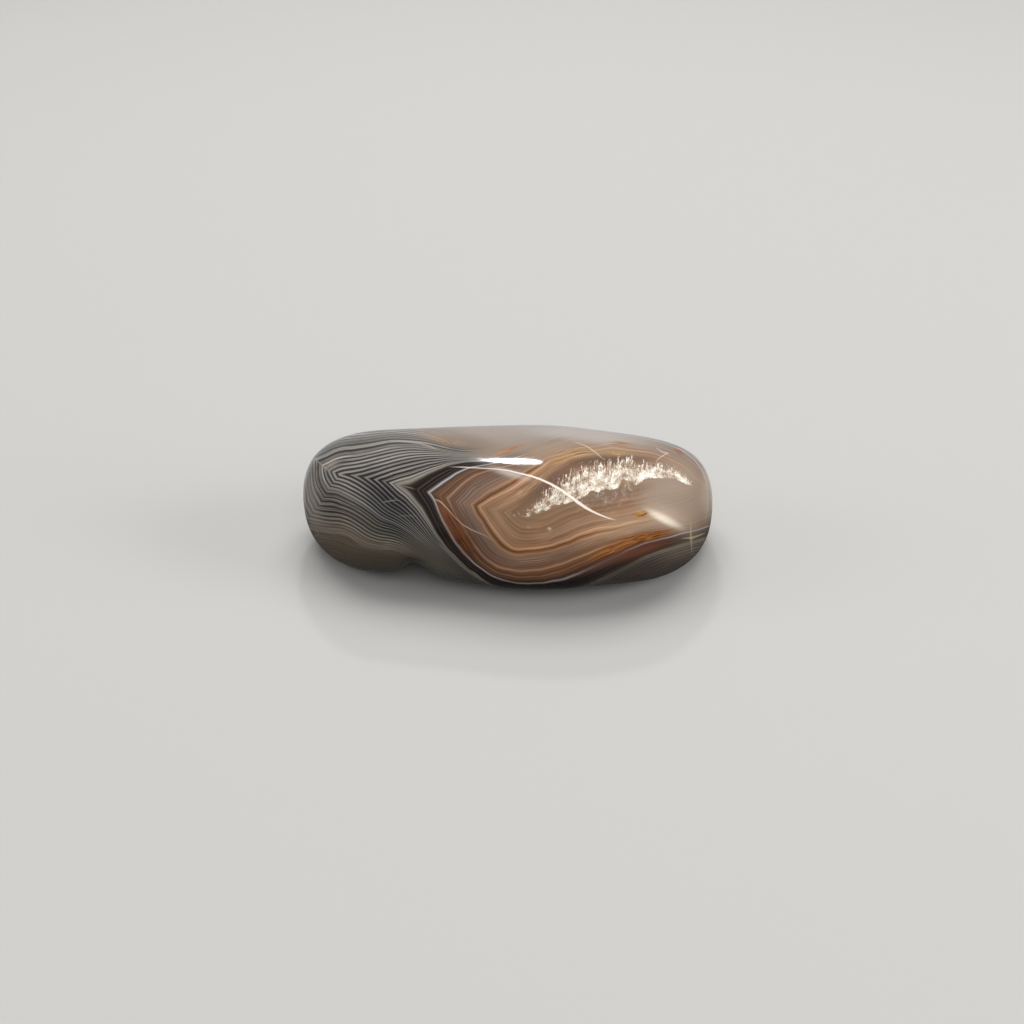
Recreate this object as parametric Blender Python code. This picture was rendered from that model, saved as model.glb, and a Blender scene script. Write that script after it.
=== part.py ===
"""A polished lake superior agate: one long, slightly bean-shaped stone that lies on a small flat spot.

Metres, +Z up. The stone's long side runs along X, its bulging front faces -Y, and the middle of
its underside is the origin.
"""

import math

import bmesh
import bpy
import numpy as np

LENGTH = 0.090

# Each profile holds the heights of a smooth curve's control points, evenly spaced from the left end
# of the stone to the right end. The middle line bends back at both ends, the left one more.
MIDDLE_Y = (0.0093, 0.0029, 0.0024, 0.0017, 0.0004, -0.0002, -0.0003, 0.0007, 0.0069)
HALF_DEPTH = (0.0167, 0.0202, 0.0192, 0.0202, 0.0218, 0.0225, 0.0221, 0.0218, 0.0177)
MIDDLE_Z = (0.0105, 0.0133, 0.0142, 0.0135, 0.0132, 0.0135, 0.0132, 0.0119, 0.0090)
HALF_HEIGHT = (0.0199, 0.0171, 0.0135, 0.0139, 0.0144, 0.0143, 0.0135, 0.0157, 0.0195)

# How far the corners of the outline stand out from a plain ellipse, as a share of its radius.
LEFT_END_FULLNESS = 0.08
RIGHT_END_FULLNESS = 0.09
SECTION_FULLNESS = 0.05

# The hollow low on the front, where the narrow left lobe meets the main body.
HOLLOW_X = -0.0199
HOLLOW_DEPTH = 0.0027
HOLLOW_LEFT_REACH = 0.0030
HOLLOW_RIGHT_REACH = 0.0040
HOLLOW_BEARING = math.radians(-53)
HOLLOW_SPREAD = math.radians(41)

# Everything lower than this below the ground plane is ground off flat; as much again above it is eased.
FLAT_EASE = 0.0004

# Cells of the surface grid along X, Y and Z.
GRID_CELLS = (50, 22, 14)

STONE_COLOUR = (0.27, 0.22, 0.18, 1.0)
STONE_ROUGHNESS = 0.12


def clear_scene():
    for obj in list(bpy.data.objects):
        bpy.data.objects.remove(obj, do_unlink=True)


def profile_at(heights, place):
    """A smooth curve drawn by evenly spaced control heights, at places from -1 (left) to 1 (right)."""
    before = 2 * heights[0] - heights[1]
    after = 2 * heights[-1] - heights[-2]
    spacing = 2 / (len(heights) - 1)
    total = np.zeros_like(place)
    for index, height in enumerate((before, *heights, after)):
        away = np.abs(place + 1 - (index - 1) * spacing) / spacing
        near_weight = (4 - 6 * away**2 + 3 * away**3) / 6
        far_weight = np.clip(2 - away, 0, None) ** 3 / 6
        total += height * np.where(away < 1, near_weight, far_weight)
    return total


def hollow_depth(x, front, up, reach_from_axis):
    """How deep the hollow is at a point, from its place along X and its direction round the stone."""
    reach = np.where(x < HOLLOW_X, HOLLOW_LEFT_REACH, HOLLOW_RIGHT_REACH)
    along = np.exp(-(((x - HOLLOW_X) / reach) ** 2))
    facing = front * math.cos(HOLLOW_BEARING) + up * math.sin(HOLLOW_BEARING)
    turn = np.arccos(np.clip(facing, -1, 1))
    around = np.exp(-((turn / HOLLOW_SPREAD) ** 2))
    return HOLLOW_DEPTH * along * around * reach_from_axis


def ground_flat(z):
    """Heights with the lowest part ground to the plane z = 0, and a short eased run up from it."""
    eased = (z + FLAT_EASE) ** 2 / (4 * FLAT_EASE)
    return np.where(z > FLAT_EASE, z, np.where(z < -FLAT_EASE, 0, eased))


def stone_surface(directions):
    """The point of the stone's surface in each unit direction from its middle."""
    along = directions[:, 0]
    reach = np.sqrt(np.clip(1 - along**2, 1e-12, None))
    across = directions[:, 1] / reach
    up = directions[:, 2] / reach

    fullness = LEFT_END_FULLNESS + (RIGHT_END_FULLNESS - LEFT_END_FULLNESS) * (along + 1) / 2
    outline = 1 + fullness * 4 * along**2 * (1 - along**2)
    section = 1 + SECTION_FULLNESS * 4 * across**2 * up**2
    place = along * outline
    swell = reach * outline * section

    x = LENGTH / 2 * place
    y = profile_at(MIDDLE_Y, place) + profile_at(HALF_DEPTH, place) * swell * across
    z = profile_at(MIDDLE_Z, place) + profile_at(HALF_HEIGHT, place) * swell * up
    depth = hollow_depth(x, -across, up, reach)
    y = y + depth * math.cos(HOLLOW_BEARING)
    z = z - depth * math.sin(HOLLOW_BEARING)
    return np.column_stack([x, y, ground_flat(z)])


def grid_cube(mesh):
    """A cube from -1 to 1 with the grid cells on its faces."""
    bmesh.ops.create_cube(mesh, size=2.0)
    for axis, cells in enumerate(GRID_CELLS):
        edges = [edge for edge in mesh.edges if abs(edge.verts[0].co[axis] - edge.verts[1].co[axis]) > 1e-6]
        bmesh.ops.subdivide_edges(mesh, edges=edges, cuts=cells - 1, use_grid_fill=True)


def build_stone():
    mesh = bmesh.new()
    grid_cube(mesh)
    corners = np.array([vert.co for vert in mesh.verts])
    spread = np.tan(corners * math.pi / 4)
    directions = spread / np.linalg.norm(spread, axis=1, keepdims=True)
    for vert, point in zip(mesh.verts, stone_surface(directions)):
        vert.co = point
    data = bpy.data.meshes.new("agate")
    mesh.to_mesh(data)
    mesh.free()
    data.shade_smooth()
    stone = bpy.data.objects.new("agate", data)
    bpy.context.scene.collection.objects.link(stone)
    return stone


def polished_chalcedony():
    material = bpy.data.materials.new("polished_chalcedony")
    material.use_nodes = True
    shader = material.node_tree.nodes["Principled BSDF"]
    shader.inputs["Base Color"].default_value = STONE_COLOUR
    shader.inputs["Roughness"].default_value = STONE_ROUGHNESS
    shader.inputs["Metallic"].default_value = 0.0
    return material


def main():
    clear_scene()
    stone = build_stone()
    stone.data.materials.append(polished_chalcedony())


main()
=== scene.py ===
"""The looks of a polished lake superior agate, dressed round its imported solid.

Metres, +Z up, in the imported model's frame: the stone lies on its flat spot with its long side along X
and its bulging front towards -Y. The band courses are read off the photograph, so they are kept as
picture coordinates, in pixels of a 1024 by 1024 frame, and carried onto the stone by the camera that
saw them. Behind the part that the camera sees, the same bands run on through the stone.
"""

import logging
import math
from dataclasses import dataclass, field
from enum import Enum

import bmesh
import bpy
import numpy as np
from mathutils import Matrix, Vector


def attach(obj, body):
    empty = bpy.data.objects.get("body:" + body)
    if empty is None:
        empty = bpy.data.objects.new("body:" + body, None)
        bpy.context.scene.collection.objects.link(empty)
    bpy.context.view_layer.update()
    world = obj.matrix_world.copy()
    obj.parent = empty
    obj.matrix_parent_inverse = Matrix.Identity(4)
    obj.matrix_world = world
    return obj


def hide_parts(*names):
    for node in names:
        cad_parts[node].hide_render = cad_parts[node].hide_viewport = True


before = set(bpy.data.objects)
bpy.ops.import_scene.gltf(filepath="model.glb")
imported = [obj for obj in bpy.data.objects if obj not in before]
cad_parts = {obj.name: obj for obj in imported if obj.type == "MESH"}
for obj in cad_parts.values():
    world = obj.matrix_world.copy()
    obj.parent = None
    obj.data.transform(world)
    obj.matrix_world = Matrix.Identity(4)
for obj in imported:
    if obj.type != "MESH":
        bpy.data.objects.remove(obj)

LOG = logging.getLogger("agate")
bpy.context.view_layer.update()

# Lengths below the tolerance count as none. The smallest number keeps a root or a logarithm from nought.
TOLERANCE = 1e-6
SMALLEST = 1e-12

Colour = tuple[float, float, float]
Place = tuple[float, float, float]
Pixel = tuple[float, float]
Knot = tuple[float, float, float]
Edge = tuple[float, float]
Socket = bpy.types.NodeSocket


class Limb(Enum):
    """The three runs of a band: each nests inside its neighbours, and they meet in sharp folds."""

    UPPER = 0
    MIDDLE = 1
    LOWER = 2


class Layer(Enum):
    """What a soft-edged patch does to the bands under it."""

    TINT = "tint"
    INK = "ink"
    CLOUD_AND_PAINTED_LIGHT = "cloud"
    STAIN = "stain"


class LampOutline(Enum):
    """The outline of a soft light."""

    RECTANGLE = "RECTANGLE"
    ELLIPSE = "ELLIPSE"


@dataclass(frozen=True)
class PhotoCamera:
    """The camera that took the photograph, in the stone's frame.

    Sizes are metres and radians. The picture plane is measured in pixels of the square photograph.
    """

    position: Place = (0.0010, -0.2551, 0.1725)
    pitch_down: float = math.radians(32.22)
    roll: float = math.radians(-0.86)
    focal_pixels: float = 1399.0
    frame_pixels: int = 1024
    sensor_mm: float = 36.0
    nearest: float = 0.01
    farthest: float = 20.0

    def axes(self) -> tuple[Vector, Vector, Vector]:
        """The directions that the picture is laid out by.

        Returns:
            The picture's right, its up, and the direction of view.
        """
        level_right = Vector((1, 0, 0))
        level_up = Vector((0, math.sin(self.pitch_down), math.cos(self.pitch_down)))
        forward = Vector((0, math.cos(self.pitch_down), -math.sin(self.pitch_down)))
        right = level_right * math.cos(self.roll) + level_up * math.sin(self.roll)
        up = level_up * math.cos(self.roll) - level_right * math.sin(self.roll)
        return right, up, forward

    def pixels_of(self, points: np.ndarray) -> np.ndarray:
        """Where points of the stone's frame fall in the photograph.

        Args:
            points: one row of X, Y and Z for each point, in metres.

        Returns:
            One row for each point: pixels from the left edge and from the top edge.
        """
        right, up, forward = (np.array(axis) for axis in self.axes())
        away = points - np.array(self.position)
        depth = away @ forward
        centre = self.frame_pixels / 2
        across = centre + self.focal_pixels * (away @ right) / depth
        down = centre - self.focal_pixels * (away @ up) / depth
        return np.column_stack([across, down])

    def build(self) -> bpy.types.Object:
        """Puts the camera in the scene, as the scene's own.

        Returns:
            The camera's object.
        """
        right, up, forward = self.axes()
        data = bpy.data.cameras.new("photo_camera")
        data.sensor_width = self.sensor_mm
        data.lens = self.sensor_mm * self.focal_pixels / self.frame_pixels
        data.clip_start = self.nearest
        data.clip_end = self.farthest
        camera = bpy.data.objects.new("photo_camera", data)
        bpy.context.scene.collection.objects.link(camera)
        turn = Matrix((right, up, -forward)).transposed().to_4x4()
        camera.matrix_world = Matrix.Translation(self.position) @ turn
        bpy.context.scene.camera = camera
        return camera


@dataclass(frozen=True)
class StoneForm:
    """The stone's outer form, in metres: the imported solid's own sizes, on a finer grid.

    Each profile holds the heights of a smooth curve's control points, evenly spaced from the left
    end of the stone to the right end.
    """

    length: float = 0.090
    middle_y: tuple[float, ...] = (0.0093, 0.0029, 0.0024, 0.0017, 0.0004, -0.0002, -0.0003, 0.0007, 0.0069)
    half_depth: tuple[float, ...] = (0.0167, 0.0202, 0.0192, 0.0202, 0.0218, 0.0225, 0.0221, 0.0218, 0.0177)
    middle_z: tuple[float, ...] = (0.0105, 0.0133, 0.0142, 0.0135, 0.0132, 0.0135, 0.0132, 0.0119, 0.0090)
    half_height: tuple[float, ...] = (0.0199, 0.0171, 0.0135, 0.0139, 0.0144, 0.0143, 0.0135, 0.0157, 0.0195)
    left_end_fullness: float = 0.08
    right_end_fullness: float = 0.09
    section_fullness: float = 0.05
    hollow_x: float = -0.0199
    hollow_depth: float = 0.0027
    hollow_left_reach: float = 0.0030
    hollow_right_reach: float = 0.0040
    hollow_bearing: float = math.radians(-53)
    hollow_spread: float = math.radians(41)
    flat_ease: float = 0.0004
    grid_cells: tuple[int, int, int] = (230, 114, 66)

    @staticmethod
    def profile_at(heights: tuple[float, ...], place: np.ndarray) -> np.ndarray:
        """A smooth curve drawn by evenly spaced control heights.

        Args:
            heights: the control heights from the left end to the right end.
            place: places along the stone, from -1 (left) to 1 (right).

        Returns:
            The curve's height at each place.
        """
        before = 2 * heights[0] - heights[1]
        after = 2 * heights[-1] - heights[-2]
        spacing = 2 / (len(heights) - 1)
        total = np.zeros_like(place)
        for index, height in enumerate((before, *heights, after)):
            away = np.abs(place + 1 - (index - 1) * spacing) / spacing
            near_weight = (4 - 6 * away**2 + 3 * away**3) / 6
            far_weight = np.clip(2 - away, 0, None) ** 3 / 6
            total += height * np.where(away < 1, near_weight, far_weight)
        return total

    def hollow_at(self, x: np.ndarray, front: np.ndarray, up: np.ndarray, reach: np.ndarray) -> np.ndarray:
        """How deep the hollow low on the front is.

        Args:
            x: places along X, in metres.
            front: how far each direction round the stone faces the front, from -1 to 1.
            up: how far each direction faces up, from -1 to 1.
            reach: the distance from the stone's long axis, from 0 to 1.

        Returns:
            The depth at each point, in metres.
        """
        width = np.where(x < self.hollow_x, self.hollow_left_reach, self.hollow_right_reach)
        along = np.exp(-(((x - self.hollow_x) / width) ** 2))
        facing = front * math.cos(self.hollow_bearing) + up * math.sin(self.hollow_bearing)
        turn = np.arccos(np.clip(facing, -1, 1))
        around = np.exp(-((turn / self.hollow_spread) ** 2))
        return self.hollow_depth * along * around * reach

    def ground_flat(self, z: np.ndarray) -> np.ndarray:
        """Heights with the lowest part ground to the plane z = 0, and a short eased run up from it."""
        eased = (z + self.flat_ease) ** 2 / (4 * self.flat_ease)
        return np.where(z > self.flat_ease, z, np.where(z < -self.flat_ease, 0, eased))

    def surface(self, directions: np.ndarray) -> np.ndarray:
        """The stone's surface.

        Args:
            directions: one unit direction from the stone's middle in each row.

        Returns:
            The surface point in each direction, in metres.
        """
        along = directions[:, 0]
        reach = np.sqrt(np.clip(1 - along**2, SMALLEST, None))
        across = directions[:, 1] / reach
        up = directions[:, 2] / reach
        share = (along + 1) / 2
        fullness = self.left_end_fullness * (1 - share) + self.right_end_fullness * share
        outline = 1 + fullness * 4 * along**2 * (1 - along**2)
        section = 1 + self.section_fullness * 4 * across**2 * up**2
        place = along * outline
        swell = reach * outline * section
        x = self.length / 2 * place
        y = self.profile_at(self.middle_y, place) + self.profile_at(self.half_depth, place) * swell * across
        z = self.profile_at(self.middle_z, place) + self.profile_at(self.half_height, place) * swell * up
        depth = self.hollow_at(x, -across, up, reach)
        y = y + depth * math.cos(self.hollow_bearing)
        z = z - depth * math.sin(self.hollow_bearing)
        return np.column_stack([x, y, self.ground_flat(z)])

    def build_mesh(self) -> bpy.types.Mesh:
        """Swells the stone out from a cube with a fine grid on its faces.

        Returns:
            The stone as one closed mesh.
        """
        grid = bmesh.new()
        bmesh.ops.create_cube(grid, size=2.0)
        for axis, cells in enumerate(self.grid_cells):
            lengthwise = [
                edge for edge in grid.edges
                if abs(edge.verts[0].co[axis] - edge.verts[1].co[axis]) > TOLERANCE
            ]
            bmesh.ops.subdivide_edges(grid, edges=lengthwise, cuts=cells - 1, use_grid_fill=True)
        mesh = bpy.data.meshes.new("polished_agate")
        grid.to_mesh(mesh)
        grid.free()
        corners = vertex_places(mesh)
        spread = np.tan(corners * math.pi / 4)
        directions = spread / np.linalg.norm(spread, axis=1, keepdims=True)
        mesh.vertices.foreach_set("co", self.surface(directions).astype(np.float32).ravel())
        mesh.update()
        mesh.shade_smooth()
        return mesh


def vertex_places(mesh: bpy.types.Mesh) -> np.ndarray:
    """The places of a mesh's vertices.

    Args:
        mesh: any mesh.

    Returns:
        One row of X, Y and Z for each vertex.
    """
    places = np.empty(len(mesh.vertices) * 3, np.float32)
    mesh.vertices.foreach_get("co", places)
    return places.reshape(-1, 3).astype(float)


def vertex_normals(mesh: bpy.types.Mesh) -> np.ndarray:
    """The outward directions at a mesh's vertices.

    Args:
        mesh: any mesh.

    Returns:
        One row of X, Y and Z for each vertex.
    """
    normals = np.empty(len(mesh.vertices) * 3, np.float32)
    mesh.vertex_normals.foreach_get("vector", normals)
    return normals.reshape(-1, 3).astype(float)


@dataclass(frozen=True)
class Course:
    """One band's run across the photograph: its count from the outer guide band, and points on it."""

    count: float
    points: tuple[Pixel, ...]


UPPER_COURSES = (
    Course(-4, ((350, 438.7), (375, 435.8), (390, 434.3), (410, 435.5))),
    Course(-2, ((320, 454.5), (330, 449.1), (340, 445.3), (350, 444.1), (370, 441.6), (390, 438.3),
                (410, 439), (430, 441.5))),
    Course(0, ((320, 459.9), (330, 455.8), (340, 451.9), (350, 450.7), (370, 447.6), (390, 443.4),
               (410, 442.8), (430, 445.5), (445, 448.5), (460, 451), (480, 452))),
    Course(3, ((326, 469.3), (333, 464.6), (340, 462), (350, 461.1), (370, 457.1), (390, 452.2),
               (410, 449.4), (430, 450), (445, 452), (460, 454), (480, 454.5))),
    Course(6, ((345, 474), (350, 473.4), (370, 468.6), (390, 463.2), (410, 458.3), (430, 455.9),
               (445, 455.5), (460, 456.3), (480, 456.5))),
    Course(8, ((372, 478), (380, 474.5), (390, 471.1), (410, 465.6), (430, 461.2), (445, 458.6),
               (460, 457.8), (480, 457.8))),
    Course(10, ((386, 482), (400, 477.2), (420, 470.8), (440, 465), (455, 461.3), (470, 459.5), (490, 459))),
    Course(11.7, ((405.5, 486), (415, 482), (424, 478), (440, 468.8), (452, 464.3))),
    Course(12.5, ((415, 488.5), (424, 480.5), (438.5, 472.3), (452.8, 466.3), (466, 463), (484, 460.6))),
    Course(15.5, ((428, 492), (438.5, 484.6), (450, 477.4), (461.4, 470.5), (475, 466), (492, 462.5),
                  (520, 456), (545, 447), (570, 439), (600, 435))),
    Course(18, ((440, 496), (452.8, 484.6), (467.2, 474.6), (482, 469), (500, 464), (525, 457.5),
                (548, 449), (575, 441.5), (610, 437.5), (650, 443), (685, 455), (703, 470))),
    Course(22, ((458.6, 502), (470, 489.5), (485, 480), (500, 474), (520, 465.5), (545, 454), (575, 446),
                (610, 441), (650, 446.5), (683, 459), (701, 474))),
    Course(24, ((473, 504), (482, 497), (496, 489), (510, 481.7), (522, 473.5), (536, 464), (552, 455.5),
                (580, 448), (610, 444), (645, 448.5), (680, 461), (698, 476))),
    Course(26, ((480, 506), (490, 500), (500, 494.7), (510, 489.5), (520, 483), (530, 476.5), (543, 467.5),
                (556, 460), (580, 452.5), (610, 448), (645, 452), (675, 462), (694, 478))),
    Course(30, ((505, 513), (525, 500), (545, 484), (565, 471), (590, 461), (625, 457), (655, 460),
                (680, 470))),
)

MIDDLE_COURSES = (
    Course(-6, ((301.5, 480), (302.9, 492), (303.4, 504))),
    Course(-5, ((304.1, 480), (304.9, 492), (305.8, 498), (307.7, 504), (311.5, 511))),
    Course(-3, ((309.7, 474), (309.7, 480), (310.3, 486), (311.2, 492), (314.2, 498), (317.3, 504))),
    Course(-2, ((312, 468), (312, 474), (312.3, 480), (314, 486), (317, 492), (320.1, 498))),
    Course(0, ((318, 464), (317.5, 474), (318.6, 480), (321, 486), (323.5, 490.5), (326.3, 493.5))),
    Course(3, ((326, 469.3), (327.2, 474), (330.5, 480), (332.5, 483))),
    Course(5, ((335.5, 472.6), (336.5, 474), (338.5, 477))),
)

LOWER_COURSES = (
    Course(-13, ((315, 545), (330, 545), (345, 550), (360, 553), (380, 556), (400, 560))),
    Course(-9, ((312, 527.5), (320, 528.4), (330, 530.6), (340, 531), (350, 534.1), (360, 541.2),
                (370, 545.2), (380, 547), (395, 549))),
    Course(-6, ((309.5, 516), (320, 518.8), (330, 520.3), (340, 521), (350, 524.7), (360, 531.1),
                (370, 537.1), (380, 539.6), (390, 540.7), (400, 543.3), (412, 550))),
    Course(-4, ((316, 508.8), (325, 511.4), (332, 511.3), (340, 512.8), (350, 516.5), (360, 522.6),
                (370, 529.4), (380, 533.3), (390, 535.4), (400, 539), (410, 544.5), (422, 553))),
    Course(-2, ((321.7, 501), (330, 500.4), (340, 504), (350, 507.9), (360, 513.3), (370, 520.3),
                (380, 526.1), (390, 528.6), (400, 532.4), (410, 538.7), (422, 548), (434, 558))),
    Course(0, ((326.3, 493.5), (332, 493), (340, 495.7), (350, 500.5), (360, 506.1), (370, 513.1),
               (380, 520.8), (390, 524), (400, 528.6), (410, 534), (420, 541.5), (432, 551.5), (446, 562))),
    Course(3, ((332.5, 483), (340, 484.7), (350, 489.5), (360, 495.1), (370, 502.3), (380, 510.8),
               (390, 516.8), (400, 521.9), (410, 529.4), (420, 538), (432, 549), (448, 562))),
    Course(5, ((338.5, 476.5), (350, 480.1), (360, 485.9), (370, 492.8), (380, 501.5), (390, 509.7),
               (400, 515.7), (410, 523.6), (420, 533.5), (434, 547), (450, 561))),
    Course(7, ((360, 476.2), (370, 482.8), (380, 491.1), (390, 501.5), (400, 507.6), (410, 516.6),
               (420, 527.4), (430, 539.5), (442, 552), (456, 564))),
    Course(10, ((388, 483), (400, 493.7), (410, 503), (420, 514.1), (430, 528.3), (440, 542),
                (450, 553.5), (460, 563), (472, 572))),
    Course(11.7, ((405.5, 486), (414, 495.5), (422.5, 505.5), (430.5, 520))),
    Course(12.5, ((415, 489), (425, 505), (433, 520), (441, 535), (450, 548.5), (460, 559.5), (470, 569),
                  (484, 577.5), (500, 584), (515, 587.6), (530, 588.6), (545, 588.4))),
    Course(15.5, ((428, 492), (434, 499), (437, 508), (442, 520), (449, 531.5), (459, 546), (469, 557),
                  (480, 567.5), (491, 575.3), (503, 580.3), (515.7, 583), (529, 583.6), (542.5, 582.9),
                  (560, 579.5), (578, 573), (596, 565), (620, 554), (640, 544.5), (655, 540),
                  (670, 536.5), (690, 531), (706, 526))),
    Course(18, ((441, 497), (447, 510), (455, 524), (465, 540), (475, 553.5), (489, 566), (508, 573),
                (530, 574.5), (552, 571), (575, 563), (600, 552.5), (620, 544), (640, 537), (658, 532.5),
                (680, 527), (704, 521))),
    Course(22, ((459, 503), (466, 516), (476, 532), (488, 548.5), (502, 558.5), (520, 561.5),
                (542, 559.5), (565, 553), (590, 543.5), (612, 537), (635, 530.5), (660, 525), (690, 518))),
    Course(24, ((473, 504.5), (482, 521), (494, 539.5), (508, 551), (528, 552.5), (545, 550.5),
                (560, 546.5), (580, 539), (600, 533), (620, 529.5), (645, 524), (680, 515))),
    Course(26, ((480, 507), (489, 520.5), (502, 537.5), (513, 547), (528, 547.2), (542.5, 545.5),
                (551, 544), (569, 537.5), (587, 530), (605, 526), (619, 524), (640, 519), (670, 511))),
    Course(30, ((515, 521), (535, 524), (560, 514), (590, 504), (620, 497), (655, 490), (685, 486))),
)


class CourseField:
    """The band count as a smooth function of the place in the photograph: a thin-plate spline.

    Places are scaled to units of SCALE pixels, and the smoothing lets the spline pass a little off
    a point.
    """

    SCALE = 100.0
    SMOOTHING = 4e-3
    ROWS_AT_ONCE = 20000

    def __init__(self, courses: tuple[Course, ...]) -> None:
        """Fits the spline.

        Args:
            courses: the guide bands of one limb.
        """
        self.knots = np.array([point for course in courses for point in course.points]) / self.SCALE
        counts = np.array([course.count for course in courses for _ in course.points])
        total = len(self.knots)
        system = np.zeros((total + 3, total + 3))
        system[:total, :total] = self.kernel(self.knots) + self.SMOOTHING * np.eye(total)
        system[:total, total] = 1
        system[:total, total + 1:] = self.knots
        system[total:, :total] = system[:total, total:].T
        self.weights = np.linalg.solve(system, np.append(counts, (0, 0, 0)))

    def kernel(self, places: np.ndarray) -> np.ndarray:
        """The thin-plate kernel between places and the knots."""
        squared = ((places[:, None] - self.knots[None]) ** 2).sum(axis=2)
        return 0.5 * squared * np.log(squared + SMALLEST)

    def at(self, pixels: np.ndarray) -> np.ndarray:
        """The band count.

        Args:
            pixels: one row of picture coordinates for each place.

        Returns:
            The count at each place.
        """
        rows = []
        for start in range(0, len(pixels), self.ROWS_AT_ONCE):
            places = pixels[start:start + self.ROWS_AT_ONCE] / self.SCALE
            bent = self.kernel(places) @ self.weights[:-3]
            rows.append(bent + self.weights[-3] + places @ self.weights[-2:])
        return np.concatenate(rows)


@dataclass(frozen=True)
class Nearest:
    """How places lie to a course of points: the signed distance, and a value along the course."""

    side: np.ndarray
    value: np.ndarray


def nearest_on(course: tuple[Knot, ...], pixels: np.ndarray) -> Nearest:
    """Measures places against a course.

    Args:
        course: picture coordinates with a value at each point.
        pixels: one row of picture coordinates for each place.

    Returns:
        The signed distance to the course (positive below it), and the value there. Beyond the ends
        the course runs straight on, and the value is 0.
    """
    knots = np.array(course, float)
    starts, steps = knots[:-1, :2], np.diff(knots[:, :2], axis=0)
    lengths = np.linalg.norm(steps, axis=1)
    passed = np.append(0, np.cumsum(lengths))
    gaps = np.full(len(pixels), np.inf)
    side = np.zeros(len(pixels))
    run = np.zeros(len(pixels))
    for index, (start, step, length) in enumerate(zip(starts, steps, lengths)):
        unit = step / length
        away = pixels - start
        low = -np.inf if index == 0 else 0
        high = np.inf if index == len(starts) - 1 else length
        held = np.clip(away @ unit, low, high)
        gap = np.hypot(*(away - held[:, None] * unit).T)
        closer = gap < gaps
        turned = unit[0] * away[:, 1] - unit[1] * away[:, 0]
        gaps = np.where(closer, gap, gaps)
        side = np.where(closer, np.copysign(gap, turned), side)
        run = np.where(closer, passed[index] + held, run)
    return Nearest(side, np.interp(run, passed, knots[:, 2], left=0, right=0))


@dataclass(frozen=True)
class FineLine:
    """A healed crack or another fine line: how much it covers, its colour, and its course.

    The course is picture coordinates, with the line's half width in pixels at each point.
    """

    name: str
    strength: float
    colour: Colour
    course: tuple[Knot, ...]


FINE_LINES = (
    FineLine("crack_main", 0.90, (0.86, 0.76, 0.66), (
        (447, 466.2, 0.1), (462, 466.6, 0.3), (478, 467.5, 0.3), (494, 468.3, 0.3), (508, 470, 0.4),
        (520, 473, 0.5), (530, 475.3, 0.7), (540, 478.8, 0.8), (550, 483.3, 0.9), (560, 489, 1.0),
        (570, 496, 1.1), (577, 501.5, 1.4), (585, 507, 1.2), (592, 511, 0.9), (600, 514.6, 0.7),
        (608, 517.6, 0.4), (617, 520, 0.1),
    )),
    FineLine("crack_fine", 0.7, (0.50, 0.38, 0.30), (
        (434, 498.5, 0.2), (440, 501.2, 0.6), (446, 507.2, 0.4), (454, 516.3, 0.3), (462.5, 524.4, 0.4),
        (472, 529.8, 0.4), (484, 534.7, 0.3), (498, 543, 0.1),
    )),
    FineLine("crack_arc", 0.5, (0.66, 0.54, 0.42), (
        (570, 440.5, 0.1), (578, 442.5, 0.3), (586, 445.5, 0.4), (594, 451.0, 0.5), (601, 457, 0.3),
        (605, 461, 0.1),
    )),
    FineLine("crack_short", 0.5, (0.70, 0.60, 0.49), (
        (655, 447, 0.2), (662, 451.5, 0.4), (667, 452.5, 0.4), (661, 456, 0.4), (657, 459, 0.3),
        (655, 464, 0.2),
    )),
    FineLine("fault", 0.5, (0.24, 0.23, 0.215), (
        (380, 502.3, 0.1), (386, 501, 0.5), (392, 500, 0.5), (401, 499.3, 0.1),
    )),
    FineLine("fault_low", 0.45, (0.200, 0.190, 0.175), (
        (396, 515.8, 0.1), (402, 515.2, 0.4), (409, 515.4, 0.4), (415, 515.8, 0.1),
    )),
    FineLine("crease_line", 0.55, (0.260, 0.200, 0.150), (
        (400, 484.6, 0.1), (405, 486, 0.4), (411, 487.6, 0.4), (416, 489.3, 0.1),
    )),
    FineLine("cream_line", 0.5, (0.52, 0.44, 0.34), (
        (395, 441, 0.1), (408, 441.5, 0.4), (420, 443, 0.5), (430, 446, 0.5), (438, 449.5, 0.1),
    )),
    FineLine("outer_line", 0.6, (0.215, 0.200, 0.175), (
        (437, 541, 0.1), (442, 547, 0.5), (448, 552.5, 0.5), (455, 559.5, 0.5), (465, 569, 0.5),
        (477, 577.3, 0.4), (492, 585.5, 0.1),
    )),
    FineLine("crease", 0.45, (0.48, 0.44, 0.38), (
        (313, 457.5, 0.1), (319, 462.5, 0.4), (325, 467.5, 0.4), (331, 472, 0.1),
    )),
    FineLine("star_upright", 0.4, (0.48, 0.40, 0.26), (
        (690.3, 518, 0.1), (690.3, 528, 0.6), (690.5, 537, 1.1), (690.8, 543, 0.6), (691.5, 553, 0.1),
    )),
    FineLine("star_level", 0.5, (0.50, 0.40, 0.24), (
        (680, 538, 0.1), (686, 537.5, 0.5), (691, 537.5, 1.2), (697, 535.5, 0.8), (706, 532, 0.1),
    )),
    FineLine("rim_line", 0.45, (0.66, 0.57, 0.47), (
        (664, 443.5, 0.1), (681, 449.5, 0.3), (694, 459.5, 0.3), (701.5, 469.5, 0.3), (706, 482, 0.3),
        (707.5, 495, 0.3), (707, 509, 0.3), (704, 527, 0.1),
    )),
)

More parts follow.
